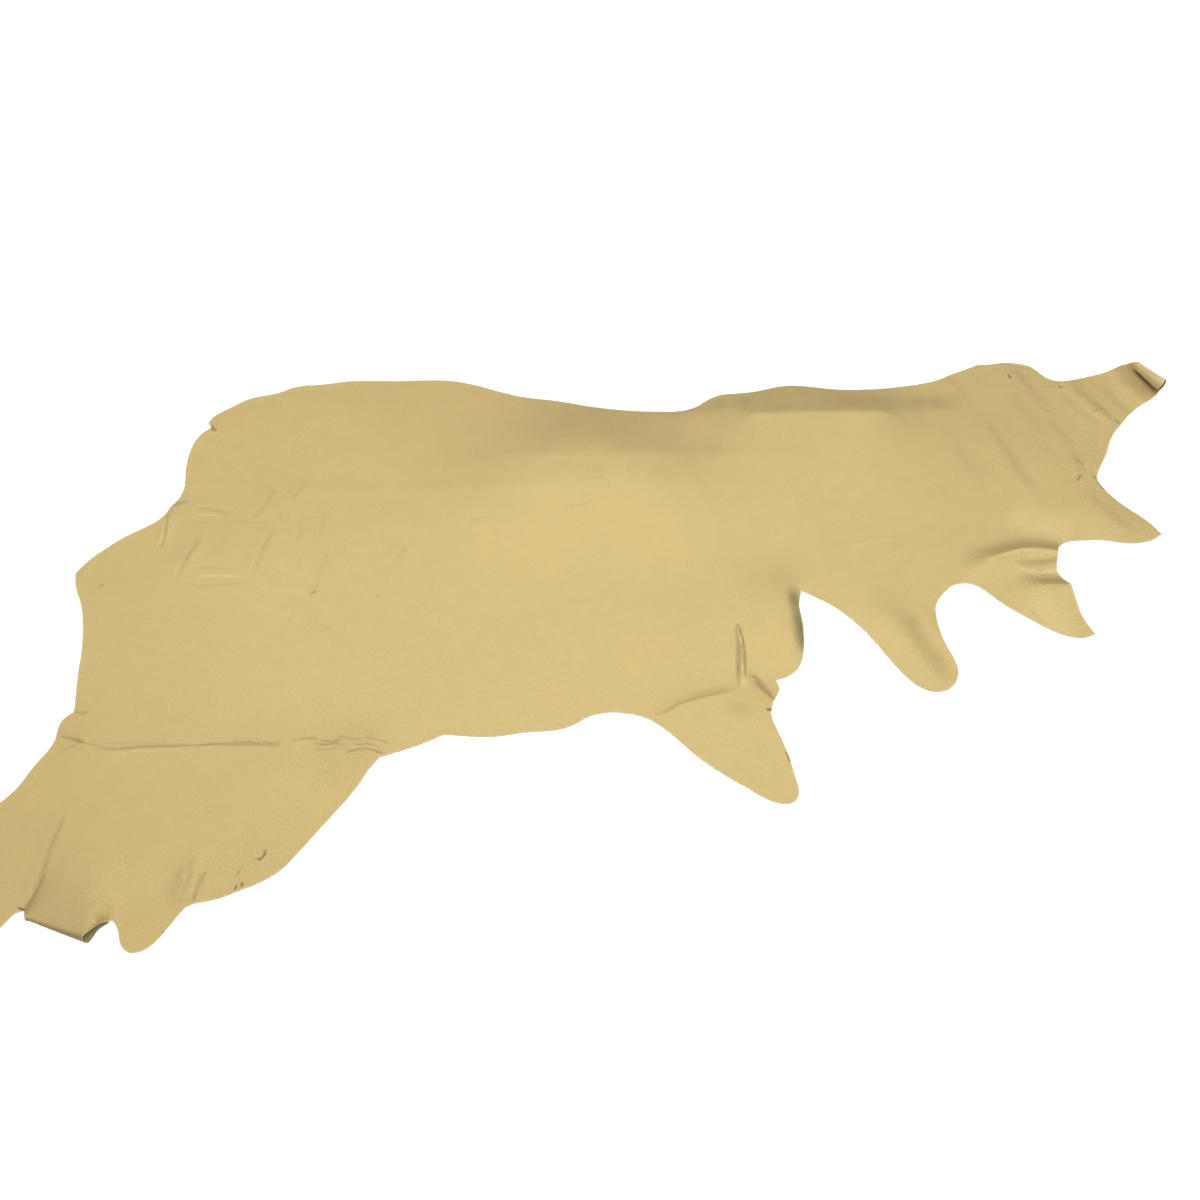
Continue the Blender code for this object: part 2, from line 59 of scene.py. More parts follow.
CREASES = [
    # The tuck across the groin: its mouth at the flank, two long lines, and the branches below it
    Crease(1.6, 7, 0.35, [(-1067, -341), (-1035, -350), (-1009, -361)]),
    Crease(0.7, 5, 0.1, [
        (-1005, -361), (-975, -358), (-915, -360), (-851, -361), (-790, -365), (-760, -362),
    ]),
    Crease(1.1, 5, 0.3, [
        (-1008, -366), (-981, -374), (-947, -374), (-899, -368), (-850, -367), (-796, -368),
    ]),
    Crease(-0.5, 5, -0.15, [(-985, -384), (-945, -385), (-899, -379), (-850, -377), (-806, -378)]),
    Crease(0.9, 4, 0.35, [(-810, -366), (-758, -361), (-718, -363), (-674, -363), (-612, -363)]),
    Crease(0.7, 4, 0.15, [(-1064, -383), (-1046, -371), (-1020, -362)]),
    Crease(0.6, 4, 0.1, [(-1046, -393), (-1025, -375), (-1010, -366)]),
    # Wrinkles where the tuck runs out
    Crease(0.9, 3, 0.5, [(-726, -353), (-699, -358), (-676, -356)]),
    Crease(0.9, 3, 0.5, [(-694, -362), (-672, -359), (-654, -364), (-622, -367)]),
    Crease(0.9, 3, 0.5, [(-670, -354), (-646, -360), (-624, -356)]),
    Crease(-0.5, 4, -0.12, [(-690, -351), (-640, -353), (-600, -360), (-566, -356)]),
    Crease(0.7, 3, 0.4, [(-614, -356), (-582, -347), (-550, -349)]),
    Crease(0.9, 3, 0.5, [(-566, -360), (-538, -363), (-522, -359), (-498, -366)]),
    Crease(0.7, 3, 0.45, [(-556, -351), (-527, -356), (-506, -348)]),
    Crease(1.0, 4, 0.45, [(-508, -384), (-483, -375), (-464, -370), (-446, -374), (-414, -386)]),
    Crease(-0.5, 4, -0.12, [(-500, -372), (-478, -367), (-452, -366), (-428, -376)]),
    Crease(0.7, 3, 0.4, [(-522, -343), (-494, -346), (-468, -354)]),
    Crease(0.8, 3, 0.4, [(-486, -363), (-458, -360), (-428, -370)]),
    Crease(0.5, 3, 0.3, [(-560, -372), (-536, -374), (-514, -370)]),
    Crease(0.5, 3, 0.3, [(-470, -346), (-440, -350), (-408, -362)]),
    # The armpit's crease with a painted shade, and the creases at the upright pinch, whose crest has a
    # painted highlight
    Crease(1.0, 7, 0.3, [(98, -300), (128, -288), (157, -266), (195, -252), (238, -241), (281, -233)]),
    Crease(0.8, 12, 0.12, [(136, -264), (166, -256), (202, -241), (266, -226)]),
    Crease(0, 22, 0.1, [(240, -262), (275, -276), (310, -290)]),
    Crease(0.8, 5, 0.3, [(283, -88), (284, -130), (281, -180), (280, -236)]),
    Crease(-0.8, 5, -0.9, [(298, -62), (287, -82), (295, -126), (294, -175), (291, -232)]),
    Crease(1.0, 9, 0.4, [(311, -208), (328, -233), (350, -258)]),
    # Shade painted along the elbow's edge, which turns down, and the hollow that runs out down the lobe
    # beside it
    Crease(0, 20, 0.8, [(408, 44), (414, -10), (418, -60), (421, -95), (423, -150)]),
    Crease(1.4, 30, 0.17, [(640, -20), (668, -95), (693, -157), (716, -222)]),
    # The waves at the chest: painted shade in their hollows, painted highlights on their crests, and fine
    # lines in them
    Crease(0, 22, 0.05, [(790, 55), (812, 95), (830, 112), (862, 127), (905, 142), (940, 153), (1030, 156)]),
    Crease(0.5, 12, 0.32, [(892, 99), (954, 100), (1030, 108)]),
    Crease(0.4, 16, 0.26, [(896, 66), (955, 49), (1030, 44)]),
    Crease(0, 6, -0.18, [(860, 108), (905, 127), (940, 134), (985, 127), (1030, 120)]),
    Crease(0, 6, -0.2, [(905, 78), (950, 72), (1010, 82)]),
    Crease(0, 45, -0.16, [(915, 30), (950, -40), (985, -150)]),
    Crease(0, 70, -0.2, [(920, 270), (960, 215), (1060, 190)]),
    Crease(0.6, 4, 0.15, [(925, 76), (950, 68), (985, 65)]),
    Crease(0.5, 3, 0.1, [(930, 82), (955, 75), (990, 73)]),
    Crease(0.4, 3, 0.1, [(930, 40), (955, 36), (985, 40)]),
    Crease(0.6, 6, 0.1, [(905, -28), (930, -50), (946, -70)]),
    # The hind leg: lines beside its lobe, and flay marks near its edge
    Crease(0.8, 6, 0.3, [(-742, -706), (-736, -672), (-729, -630)]),
    Crease(0.3, 5, 0.08, [(-768, -712), (-762, -680), (-757, -650)]),
    Crease(0.9, 4, 0.2, [(-672, -650), (-666, -634), (-660, -620)]),
    # The flap's valley, behind its rolled edge
    Crease(1.4, 9, 0.2, [
        (-1047, -716), (-1035, -690), (-1030, -640), (-1027, -590), (-1022, -545), (-1016, -500),
    ]),
    # Creases at the rump, and the nicks in its edge
    Crease(1.3, 6, 0.3, [(-963, 252), (-958, 208), (-956, 167), (-964, 134)]),
    Crease(1.1, 9, 0.15, [(-880, 186), (-890, 142), (-900, 110), (-911, 54)]),
    Crease(-0.4, 4, -0.3, [(-975, 236), (-968, 200), (-966, 166), (-972, 140)]),
    Crease(0.9, 8, 0.35, [(-964, 266), (-943, 275), (-922, 285)]),
    Crease(1.2, 7, 0.9, [(-915, 521), (-908, 508), (-898, 500)]),
    Crease(0.8, 5, 0.35, [(-1055, -283), (-1036, -289), (-1020, -284)]),
    Crease(0.4, 4, 0.5, [(-1072, 34), (-1067, 37), (-1062, 41)]),
    # Soft ripples over the rump and the flank
    Crease(0.8, 11, 0.05, [(-910, 258), (-873, 261), (-845, 252), (-806, 244)]),
    Crease(-0.4, 6, -0.25, [(-906, 240), (-880, 241), (-848, 239)]),
    Crease(0.3, 11, 0.03, [(-916, 220), (-853, 219), (-791, 223), (-700, 220)]),
    Crease(0.7, 11, 0.06, [(-880, 82), (-844, 92), (-794, 84)]),
    Crease(-0.5, 6, -0.3, [(-874, 62), (-820, 66), (-758, 62)]),
    Crease(0.7, 10, 0.06, [(-905, 47), (-840, 38), (-794, 44), (-742, 56)]),
    Crease(0.8, 12, 0.07, [(-736, 328), (-750, 279), (-774, 222)]),
    Crease(0.9, 11, 0.07, [(-710, 224), (-728, 185), (-740, 144), (-747, 64)]),
    Crease(0.8, 8, 0.07, [(-671, 234), (-663, 196), (-661, 160)]),
    Crease(0.7, 7, 0.06, [(-617, 252), (-616, 208), (-621, 166)]),
    Crease(0.8, 8, 0.1, [(-666, 336), (-680, 313), (-694, 290)]),
    Crease(0.9, 10, 0.07, [(-593, 142), (-606, 88), (-615, 10)]),
    Crease(0.5, 4, 0.4, [(-620, 15), (-612, 19), (-604, 25)]),
    Crease(0.8, 8, 0.07, [(-606, -48), (-583, -64), (-562, -82)]),
    Crease(0.8, 8, 0.07, [(-425, 160), (-436, 127), (-441, 100)]),
    Crease(0.5, 4, 0.3, [(-478, 6), (-472, 11), (-466, 16)]),
    Crease(0.6, 9, 0.06, [(-56, 327), (-23, 334), (18, 341)]),
    Crease(0.6, 9, 0.06, [(-88, 251), (-45, 258), (0, 268)]),
    Crease(0.4, 8, 0.05, [(-296, 219), (-267, 226), (-236, 230)]),
    Crease(-0.6, 9, -0.06, [(540, 144), (593, 164), (655, 174)]),
    # Where the hide breaks towards the backbone, and shade painted on the slope beyond it
    Crease(-0.8, 34, 0, [(-330, 409), (-92, 409), (93, 412), (278, 414), (500, 415)]),
    Crease(-0.6, 26, 0, [(-740, 318), (-498, 316), (-294, 315), (-40, 316)]),
    Crease(0, 60, 0.1, [(-20, 440), (140, 446), (340, 448)]),
    Crease(0, 36, 0.27, [(110, 566), (200, 576), (300, 586), (400, 592)]),
    Crease(0, 46, 0.3, [(500, 596), (722, 592), (900, 600)]),
    # Lines on the neck, and beside the backbone's edge above it, with shade painted into them
    Crease(0.4, 6, 0.08, [(982, 664), (1050, 655), (1104, 650), (1142, 648)]),
    Crease(0.9, 7, 0.15, [(986, 734), (1020, 722), (1054, 709)]),
    Crease(0.6, 20, 0.08, [(826, 482), (852, 392), (878, 308)]),
    Crease(0.5, 18, 0.16, [(840, 694), (862, 652), (884, 610)]),
    Crease(1.0, 21, 0.16, [(908, 560), (945, 440), (966, 365), (994, 293)]),
    Crease(0.7, 20, 0.19, [(1000, 736), (1036, 650), (1070, 560)]),
    Crease(0.9, 19, 0.17, [(1042, 584), (1074, 510), (1098, 440), (1112, 340)]),
    Crease(0.7, 17, 0.13, [(1094, 632), (1140, 572), (1184, 510)]),
    Crease(0.6, 15, 0.17, [(1128, 660), (1180, 590), (1230, 510)]),
    Crease(0.6, 15, 0.13, [(1178, 684), (1220, 620), (1262, 548)]),
    Crease(0.9, 20, 0.12, [(1106, 304), (1142, 250), (1180, 188)]),
    Crease(0, 40, 0.2, [(1262, 700), (1290, 655), (1318, 606)]),
    Crease(0, 30, 0.14, [(980, 640), (1010, 560), (1050, 470)]),
    Crease(0.7, 6, 0.2, [(1046, 580), (1062, 568), (1080, 555)]),
    Crease(0.9, 5, 0.3, [(1160, 556), (1172, 566), (1186, 574), (1202, 572)]),
    Crease(1.2, 5, 0.8, [(1212, 541), (1219, 531), (1226, 524)]),
    Crease(0.8, 5, 0.5, [(1186, 572), (1190, 576), (1195, 578)]),
    Crease(1.2, 5, 0.5, [(1096, 417), (1104, 403), (1110, 390)]),
    Crease(0.7, 3, 0.9, [(1081, 338), (1090, 350), (1101, 364)]),
    Crease(0.7, 5, 0.3, [(1125, 356), (1130, 338), (1134, 316)]),
]

# A flay mark is a short cut that the skinning knife left, open by a hair; it is cut as a groove with shade
# painted into it.
Mark = namedtuple("Mark", "width path")

FLAY_MARKS = [
    Mark(2.4, [(-624, -590), (-624, -602), (-632, -613), (-640, -610)]),
    Mark(2.0, [(-666, -664), (-668, -676)]),
    Mark(2.0, [(-656, -658), (-657, -670)]),
    Mark(3.0, [(992, 695), (991, 686), (995, 676)]),
    Mark(2.6, [(1104, 656), (1106, 648), (1112, 643)]),
    Mark(3.4, [(-1056, -709), (-1048, -713), (-1040, -718)]),
    Mark(2.2, [(1122, 357), (1131, 352)]),
    Mark(2.0, [(1134, 322), (1140, 316)]),
    Mark(1.8, [(-784, -756), (-780, -760)]),
    Mark(3.4, [(331, -279), (342, -281), (354, -279)]),
    Mark(1.8, [(364, -378), (368, -392), (372, -405)]),
]

# Where the skin is loose, its grain is coarser and wrinkled: along the belly and on the neck and legs.
Loose = namedtuple("Loose", "x y reach strength")

LOOSE_PLACES = [
    Loose(-500, -365, 110, 1.0),
    Loose(-650, -362, 90, 0.7),
    Loose(-1045, -325, 70, 0.6),
    Loose(-1160, -640, 180, 0.4),
    Loose(-900, -720, 110, 0.6),
    Loose(-690, -640, 120, 0.5),
    Loose(180, -290, 130, 0.4),
    Loose(330, -250, 90, 0.8),
    Loose(330, -430, 110, 0.4),
    Loose(960, 40, 110, 1.0),
    Loose(960, -60, 90, 0.6),
    Loose(820, 80, 90, 0.7),
    Loose(690, -180, 110, 0.4),
    Loose(1130, 400, 140, 0.7),
    Loose(1250, 640, 150, 0.8),
    Loose(1180, 180, 110, 0.6),
]

# Where the folds of the solid settle into soft waves
Eased = namedtuple("Eased", "x y reach passes")

EASED_PLACES = [
    Eased(900, 110, 150, 12),
    Eased(950, 50, 90, 8),
    Eased(660, -90, 130, 12),
    Eased(400, 20, 110, 8),
    Eased(-890, -690, 70, 10),
    Eased(1180, 620, 110, 10),
    Eased(-775, -680, 32, 8),
]

# The two rolled ends, the hind leg's flap and the tip of the neck, each along the top of its roll
ROLLED_ENDS = [[(-1040, -742), (-970, -762), (-901, -782)], [(1298, 738), (1322, 695), (1354, 642)]]
ROLL_REACH = 34 * MM


def on_floor(x, y):
    """A place of the tables in the frame's metres."""
    return Vector((x * MM, y * MM, 0)) + AIM


def even_steps(path, step):
    """Points along a path, a step apart, each with its share of the path's length."""
    corners = [on_floor(x, y) for x, y in path]
    lengths = [(after - before).length for before, after in zip(corners, corners[1:])]
    total = sum(lengths)
    steps, start = [], 0.0
    for before, after, length in zip(corners, corners[1:], lengths):
        count = max(1, round(length / step))
        for i in range(count):
            steps.append((before.lerp(after, i / count), (start + length * i / count) / total))
        start += length
    return steps + [(corners[-1], 1.0)]


def tree_of(places, flat=True):
    """A tree that finds the nearest of the places, as seen from above or in space."""
    tree = KDTree(len(places))
    for index, place in enumerate(places):
        tree.insert((place.x, place.y, 0 if flat else place.z), index)
    tree.balance()
    return tree


def near_path(tree, path, step, reach):
    """The points of the net near a path: how far each is from it, and at which share of its length."""
    nearest = {}
    for point, share in even_steps(path, step):
        for _, index, distance in tree.find_range((point.x, point.y, 0), reach):
            if distance < nearest.get(index, (reach, 0))[0]:
                nearest[index] = (distance, share)
    return nearest


def settle(skin, verts, passes):
    """Moves points half way to the middle of their neighbours, that many times."""
    for _ in range(passes):
        bmesh.ops.smooth_vert(
            skin, verts=verts, factor=0.5, use_axis_x=True, use_axis_y=True, use_axis_z=True
        )


# The grain side is taken off the solid up to its cut edge, where the surface bends more sharply than
# anywhere else.
MERGED = 0.01 * MM
CUT_EDGE_ANGLE = math.radians(60)
FACING_UP = 0.9
PINHOLE_SIDES = 24


def mend(skin):
    """Takes out faces that lie doubled, and closes pinholes with faces that look the way of the rest."""
    doubled = {face for edge in skin.edges if len(edge.link_faces) > 2 for face in edge.link_faces}
    bmesh.ops.delete(skin, geom=list(doubled), context="FACES")
    rim = [edge for edge in skin.edges if edge.is_boundary]
    fresh = bmesh.ops.holes_fill(skin, edges=rim, sides=PINHOLE_SIDES)["faces"]
    turned = []
    for face in fresh:
        loop = face.loops[0]
        if loop.link_loop_radial_next.vert == loop.vert:
            turned.append(face)
    bmesh.ops.reverse_faces(skin, faces=turned)
    bmesh.ops.triangulate(skin, faces=fresh)


def upper_skin(node):
    """The grain side of the solid alone: what is reached from its middle without crossing the cut edge."""
    skin = bmesh.new()
    skin.from_mesh(node.data)
    bmesh.ops.remove_doubles(skin, verts=skin.verts, dist=MERGED)
    upwards = [face for face in skin.faces if face.normal.z > FACING_UP]
    first = max(upwards, key=lambda face: face.calc_area())
    reached, waiting = {first}, [first]
    while waiting:
        face = waiting.pop()
        for edge in face.edges:
            if edge.calc_face_angle(math.pi) < CUT_EDGE_ANGLE:
                fresh = [other for other in edge.link_faces if other not in reached]
                reached.update(fresh)
                waiting += fresh
    below = [face for face in skin.faces if face not in reached]
    bmesh.ops.delete(skin, geom=below, context="FACES")
    mend(skin)
    return skin


# The net of triangles: how long its sides are on plain leather and at creases, and how fast they grow away
# from these. The longest are split first. A side is turned only where the net bends by less than the angle.
PLAIN_SIDE = 11.0 * MM
CREASE_SIDE = 3.4 * MM
SIDE_OF_REACH = 0.5
SIDE_GROWTH = 0.4
NEIGHBOURS = 3
CREASE_SPACING = 8 * MM
MARK_SPACING = 4 * MM
FIRST_SIDE = 0.32
SLACK = 1.35
EVENING_PASSES = 9
RELAXING_PASSES = 6
TURNED_BELOW = math.radians(3)
NEARLY_FLAT = math.radians(12)


def fine_places():
    """Where the net is finer, how far around, and how fine: at creases, marks and rolled ends."""
    places = []
    for crease in CREASES:
        reach = crease.reach * MM
        side = max(CREASE_SIDE, SIDE_OF_REACH * reach)
        places += [(point, reach, side) for point, _ in even_steps(crease.path, CREASE_SPACING)]
    for mark in FLAY_MARKS:
        places += [(point, mark.width * MM, CREASE_SIDE) for point, _ in even_steps(mark.path, MARK_SPACING)]
    for path in ROLLED_ENDS:
        places += [(point, ROLL_REACH, CREASE_SIDE) for point, _ in even_steps(path, CREASE_SPACING)]
    return places


def bend_at(vert):
    """The sharpest angle between faces that meet at a point."""
    return max(edge.calc_face_angle(0.0) for edge in vert.link_edges)


def relax(skin, passes=1):
    """Lets the points of the flat and gently curved leather settle between their neighbours."""
    for _ in range(passes):
        skin.normal_update()
        loose = [vert for vert in skin.verts if not vert.is_boundary and bend_at(vert) < NEARLY_FLAT]
        settle(skin, loose, 1)


def even_net(skin):
    """Splits every side that is too long for its place, and turns the flat triangles into even ones."""
    places = fine_places()
    tree = tree_of([point for point, _, _ in places])

    def wanted(place):
        sides = [PLAIN_SIDE]
        for _, index, distance in tree.find_n((place.x, place.y, 0), NEIGHBOURS):
            _, reach, side = places[index]
            sides.append(side + SIDE_GROWTH * max(0.0, distance - reach))
        return min(sides)

    for step in range(EVENING_PASSES):
        least = FIRST_SIDE * 0.5 ** step
        long_sides = []
        for edge in skin.edges:
            middle = (edge.verts[0].co + edge.verts[1].co) / 2
            if edge.calc_length() > SLACK * max(least, wanted(middle)):
                long_sides.append(edge)
        bmesh.ops.subdivide_edges(skin, edges=long_sides, cuts=1)
        bmesh.ops.triangulate(skin, faces=[face for face in skin.faces if len(face.verts) > 3])
        flat_edges = [
            edge for edge in skin.edges if edge.is_manifold and edge.calc_face_angle() < TURNED_BELOW
        ]
        bmesh.ops.beautify_fill(skin, faces=skin.faces, edges=flat_edges)
        mend(skin)
        relax(skin)


# How the folds and rolls of the solid lose their facets
ROLL_PASSES = 8
ROLL_SPACING = 4 * MM


def ease_folds(skin):
    """Lets the leather settle further where its waves are soft."""
    for spot in EASED_PLACES:
        middle = on_floor(spot.x, spot.y)
        near = []
        for vert in skin.verts:
            inside = (vert.co - middle).xy.length < spot.reach * MM
            if not vert.is_boundary and vert.normal.z > 0 and inside:
                near.append(vert)
        settle(skin, near, spot.passes)


def round_rolls(skin):
    """Rounds the rolled ends, above and below."""
    skin.verts.ensure_lookup_table()
    tree = tree_of([vert.co for vert in skin.verts])
    for path in ROLLED_ENDS:
        near = [skin.verts[index] for index in near_path(tree, path, ROLL_SPACING, ROLL_REACH)]
        settle(skin, [vert for vert in near if not vert.is_boundary], ROLL_PASSES)


def wave(place, length, seed):
    """A smooth uneven value from -1 to 1 that changes over about that length."""
    return noise.noise(Vector((place.x / length, place.y / length, seed)))


# The knife's line: its corners and notches are kept, and it wobbles a little between them.
CORNER_TURN = math.radians(28)
EDGE_PASSES = 4
WOBBLE = 0.8 * MM
WOBBLE_LENGTH = 22 * MM
WOBBLE_SEEDS = (3.1, 7.7)


def smooth_cut_edge(skin):
    """Rounds the facets of the cut edge, keeps its corners and notches, and gives it the knife's wobble."""
    rim = [vert for vert in skin.verts if vert.is_boundary]
    beside = {}
    for vert in rim:
        beside[vert] = [edge.other_vert(vert) for edge in vert.link_edges if edge.is_boundary]
    corners = set()
    for vert in rim:
        before, after = beside[vert]
        if (vert.co - before.co).angle(after.co - vert.co) > CORNER_TURN:
            corners.add(vert)
    for _ in range(EDGE_PASSES):
        moved = {vert: (vert.co + (beside[vert][0].co + beside[vert][1].co) / 2) / 2 for vert in rim}
        for vert in rim:
            if vert not in corners:
                vert.co = moved[vert]
    for vert in rim:
        vert.co.x += WOBBLE * wave(vert.co, WOBBLE_LENGTH, WOBBLE_SEEDS[0])
        vert.co.y += WOBBLE * wave(vert.co, WOBBLE_LENGTH, WOBBLE_SEEDS[1])


# How a crease is pressed in: its shoulders reach this many times as far as its trough, and rise to this
# share of its depth. It fades at both ends, and its strength comes and goes along its path.
SHOULDER_REACH = 3.0
SHOULDER_RISE = 0.5
CREASE_STEP = 1.5 * MM
END_FADE = 0.22
MEAN_STRENGTH = 0.8
STRENGTH_SWING = 0.5
STRENGTH_LENGTH = 35 * MM

# How a knife mark is cut: its lips reach this many times as far as its half width, and it is this many
# times as deep as they are high.
MARK_STEP = MM
LIP_HEIGHT = 0.6 * MM
LIP_REACH = 2
CUT_DEPTH = 1.8


def soft_step(share):
    """0 below nothing, 1 above one, and a soft S between."""
    share = min(1.0, max(0.0, share))
    return share * share * (3 - 2 * share)


def press_creases(skin, tree):
    """Presses each crease into the grain side, and paints shade along its trough or a highlight along its
    crest.
    """
    dark = skin.verts.layers.float.new("dark")
    skin.verts.ensure_lookup_table()
    skin.normal_update()
    for number, crease in enumerate(CREASES):
        reach = crease.reach * MM
        near = near_path(tree, crease.path, CREASE_STEP, SHOULDER_REACH * reach)
        for index, (distance, share) in near.items():
            vert = skin.verts[index]
            if vert.normal.z < 0:
                continue
            across = distance / reach
            trough = max(0.0, 1 - across**2) ** 2
            shoulder = SHOULDER_RISE * max(0.0, 1 - (across / SHOULDER_REACH) ** 2) ** 2
            strength = soft_step(min(share, 1 - share) / END_FADE)
            strength *= MEAN_STRENGTH + STRENGTH_SWING * wave(vert.co, STRENGTH_LENGTH, number)
            vert.co += vert.normal * crease.depth * MM * strength * (shoulder - trough)
            shade = crease.dark * trough * strength
            if abs(shade) > abs(vert[dark]):
                vert[dark] = shade


def cut_marks(skin, tree):
    """Cuts the knife's short marks, with raised lips and shade painted into the bottom."""
    dark = skin.verts.layers.float["dark"]
    skin.verts.ensure_lookup_table()
    for mark in FLAY_MARKS:
        width = mark.width * MM
        for index, (distance, share) in near_path(tree, mark.path, MARK_STEP, LIP_REACH * width).items():
            vert = skin.verts[index]
            across = distance / width
            cut = max(0.0, 1 - across**2) * soft_step(min(share, 1 - share) / END_FADE)
            vert.co.z += LIP_HEIGHT * (max(0.0, 1 - (across / LIP_REACH) ** 2) - CUT_DEPTH * cut)
            # Shade painted into the bottom of the cut
            vert[dark] = max(vert[dark], cut)


# The slow swells of a skin that was rolled up for years, and the slight curl along its cut edge
Swell = namedtuple("Swell", "height length seed")

SWELLS = [Swell(0.7 * MM, 140 * MM, 1.3), Swell(0.3 * MM, 46 * MM, 9.4)]
CURL = 0.8 * MM
CURL_REACH = 32 * MM
CURL_LENGTH = 90 * MM
CURL_SEED = 5.2
RIM_KNOWN = 40 * MM
LOOSE_FADE = 1.3


def lay_unevenly(skin):
    """Lays the skin in its swells and its curl, and notes how far the rim is and where the skin is loose."""
    rim_distance = skin.verts.layers.float.new("rim_distance")
    loose = skin.verts.layers.float.new("loose")
    tree = tree_of([vert.co for vert in skin.verts if vert.is_boundary], flat=False)
    for vert in skin.verts:
        place = vert.co.copy()
        _, _, distance = tree.find(place)
        vert[rim_distance] = min(distance, RIM_KNOWN)
        for swell in SWELLS:
            vert.co.z += swell.height * (0.5 + 0.5 * wave(place, swell.length, swell.seed))
        curl = max(0.0, wave(place, CURL_LENGTH, CURL_SEED)) * max(0.0, 1 - distance / CURL_REACH) ** 2
        vert.co.z += CURL * curl
        for spot in LOOSE_PLACES:
            apart = (place - on_floor(spot.x, spot.y)).xy.length / (spot.reach * MM)
            vert[loose] = max(vert[loose], spot.strength * soft_step(LOOSE_FADE - apart))


def with_thickness(skin, materials):
    """The finished sheet: grain side, flesh side and cut edge, resting on the floor where it is flat."""
    mesh = bpy.data.meshes.new("hide_skin")
    skin.to_mesh(mesh)
    skin.free()
    mesh.attributes.remove(mesh.attributes["custom_normal"])
    for material in materials:
        mesh.materials.append(material)
    skin_object = bpy.data.objects.new("hide_skin", mesh)
    bpy.context.scene.collection.objects.link(skin_object)
    split = skin_object.modifiers.new("thickness", "SOLIDIFY")
    split.thickness = THICKNESS
    split.offset = -1.0
    split.use_even_offset = False
    split.material_offset = 1
    split.material_offset_rim = 2
    graph = bpy.context.evaluated_depsgraph_get()
    sheet = bpy.data.meshes.new_from_object(skin_object.evaluated_get(graph))
    bpy.data.objects.remove(skin_object)
    for vertex in sheet.vertices:
        vertex.co.z = max(vertex.co.z, 0.0)
    sheet.shade_smooth()
    sheet.set_sharp_from_angle(angle=CUT_EDGE_ANGLE)
    return sheet


skin = upper_skin(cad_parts["hide"])
even_net(skin)
relax(skin, RELAXING_PASSES)
ease_folds(skin)
round_rolls(skin)
smooth_cut_edge(skin)
unpressed = tree_of([vert.co for vert in skin.verts])
press_creases(skin, unpressed)
cut_marks(skin, unpressed)
lay_unevenly(skin)


# The grain side: a metallic gold foil laid on the leather. Its pores and fine furrows show through the
# foil, the tone drifts from place to place, and the foil is thin and paler where the knife cut through.
# Shade is painted into its creases, knife cuts and some slopes, and highlights onto its crests.
GOLD = (0.575, 0.445, 0.185, 1)
GOLD_IN_FURROWS = (0.42, 0.30, 0.11, 1)
WORN_GOLD = (0.88, 0.70, 0.42, 1)
# The painted highlight on crests, and the painted shade in creases, knife cuts and on slopes
PAINTED_HIGHLIGHT = (0.86, 0.70, 0.36, 1)
PAINTED_SHADE = (0.10, 0.07, 0.035, 1)
GOLD_METALLIC = 0.55
BARE_METALLIC = 0.1
GOLD_ROUGHNESS = (0.41, 0.48)
DULL_ROUGHNESS = 0.3
GRAIN_CELL = 1.7 * MM
GRAIN_DEPTH = 0.07 * MM
WRINKLE_DEPTH = 0.3 * MM
PEEL_LENGTH = 4.5 * MM
PEEL_DEPTH = 0.09 * MM
WEAR_REACH = 2.5 * MM

# How much each effect counts in the foil's colour and gloss, and which share of the tones it spans
MIDDLE_TONES = (0.2, 0.8)
TONE_SWING = 0.14
FURROW_SHARE = 0.16
WORN_SHARE = 0.75
PAINTED_SHADE_SHARE = 0.85
WEAR_DULLS = 0.3


def feed(tree, socket, value):
    """Links a socket to another one, or sets it to a value."""
    if isinstance(value, bpy.types.NodeSocket):
        tree.links.new(value, socket)
    else:
        socket.default_value = value


def placed(tree, kind, inputs, **settings):
    """A node with its settings and its inputs."""
    node = tree.nodes.new(kind)
    for name, value in settings.items():
        setattr(node, name, value)
    for name, value in inputs.items():
        feed(tree, node.inputs[name], value)
    return node


def reckoned(tree, operation, *values):
    """The result of a Math node."""
    return placed(tree, "ShaderNodeMath", dict(enumerate(values)), operation=operation).outputs[0]


def ranged(tree, value, low, high, to_low=0.0, to_high=1.0, smooth=True):
    """A value mapped from one range to another."""
    inputs = {"Value": value, "From Min": low, "From Max": high, "To Min": to_low, "To Max": to_high}
    kind = "SMOOTHSTEP" if smooth else "LINEAR"
    return placed(tree, "ShaderNodeMapRange", inputs, interpolation_type=kind).outputs["Result"]


def tinted(tree, share, first, second):
    """A colour between two colours."""
    return placed(tree, "ShaderNodeMix", {0: share, 6: first, 7: second}, data_type="RGBA").outputs[2]


def clouds(tree, place, per_metre, detail):
    """Soft noise from 0 to 1, with so many clouds to the metre."""
    inputs = {"Vector": place, "Scale": per_metre, "Detail": detail}
    return placed(tree, "ShaderNodeTexNoise", inputs).outputs


def cell_edges(tree, place, per_metre):
    """How far each point is from the edge of its cell, in a net of irregular cells."""
    inputs = {"Vector": place, "Scale": per_metre}
    return placed(tree, "ShaderNodeTexVoronoi", inputs, feature="DISTANCE_TO_EDGE").outputs["Distance"]


def new_group(name, inputs, outputs):
    """An empty node group: its tree, its inputs by name, and its output node."""
    tree = bpy.data.node_groups.new(name, "ShaderNodeTree")
    for socket in inputs:
        tree.interface.new_socket(socket, in_out="INPUT", socket_type="NodeSocketFloat")
    for socket in outputs:
        tree.interface.new_socket(socket, in_out="OUTPUT", socket_type="NodeSocketFloat")
    given = tree.nodes.new("NodeGroupInput").outputs
    return tree, given, tree.nodes.new("NodeGroupOutput").inputs


# Shapes in the grain, as shares of a cell, and how far its wrinkles are warped
PORE_EDGE = 0.22
WRINKLE_EDGE = 0.3
WRINKLES_PER_CELL = 0.24
WARP = (0.012, 0.012, 0.012)
WARPS_PER_METRE = 60.0


